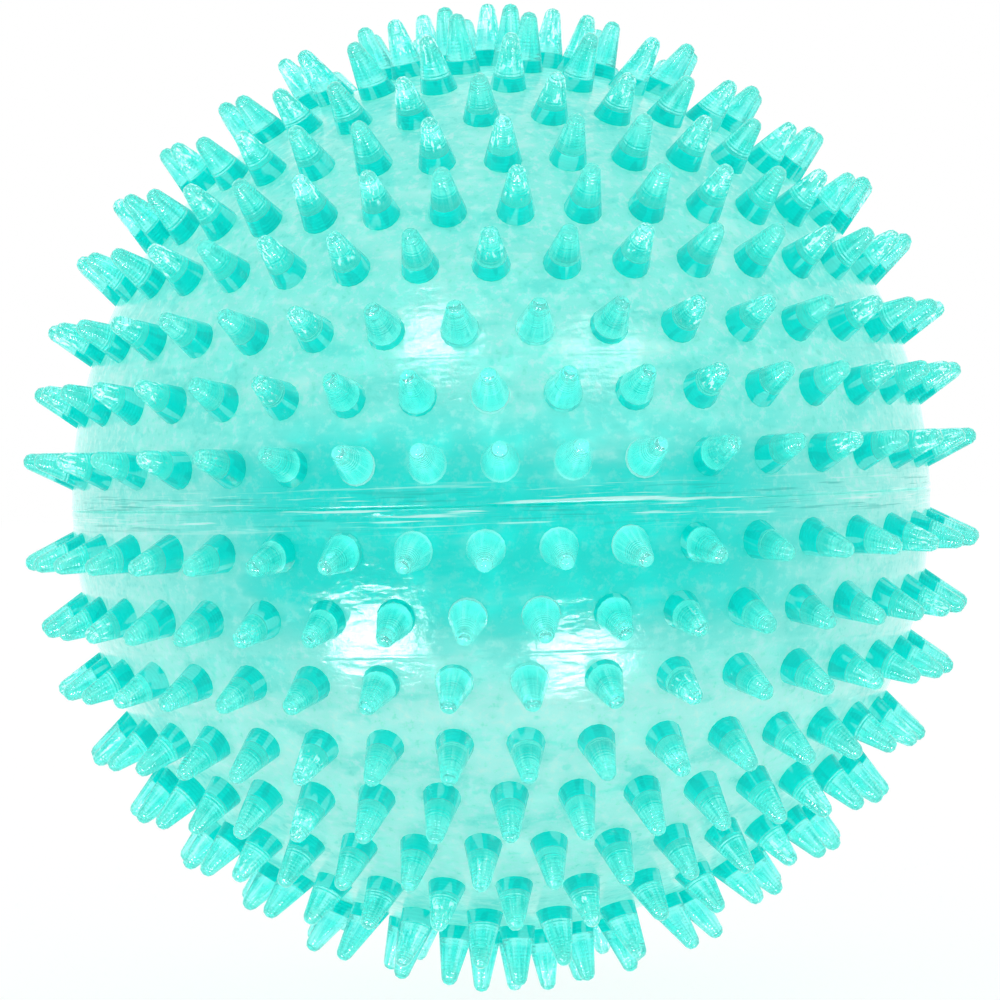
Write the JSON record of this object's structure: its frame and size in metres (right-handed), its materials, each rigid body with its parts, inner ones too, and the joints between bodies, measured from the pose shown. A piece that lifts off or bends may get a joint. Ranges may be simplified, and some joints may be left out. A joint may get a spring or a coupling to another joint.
{
  "type": "spiky dog ball",
  "caption": "Hollow translucent rubber dog ball in two welded halves, covered in rows of short blunt spikes, with a press-in squeaker whose reed springs.",
  "frame": {"origin": "centre of the ball, midway between the tips of the two pole spikes, on the weld plane", "axes": "+Z through the upper pole spike, square to the weld plane; -Y faces the picture's camera, and +X is to its right"},
  "size_m": [0.1114, 0.1114, 0.1158],
  "materials": {
    "teal_rubber": "cloudy translucent, satin with soft highlights",
    "squeaker_plastic": "moulded satin",
    "reed_film": "thin smooth strip"
  },
  "bodies": {
    "ball": {"upper_half": "teal_rubber", "lower_half": "teal_rubber", "squeaker_housing": "squeaker_plastic", "reed_seat": "squeaker_plastic", "reed_clamp": "squeaker_plastic", "squeaker_cap": "squeaker_plastic"},
    "reed": {"squeaker_reed": "reed_film"}
  },
  "joints": [
    {"name": "reed_bend", "type": "hinge", "parent": "ball", "child": "reed", "pos_m": [0, 0.0316, 0.02509], "axis": [1, 0, 0], "range_deg": [-3, 3], "stiffness_Nm_per_rad": 0.005}
  ]
}
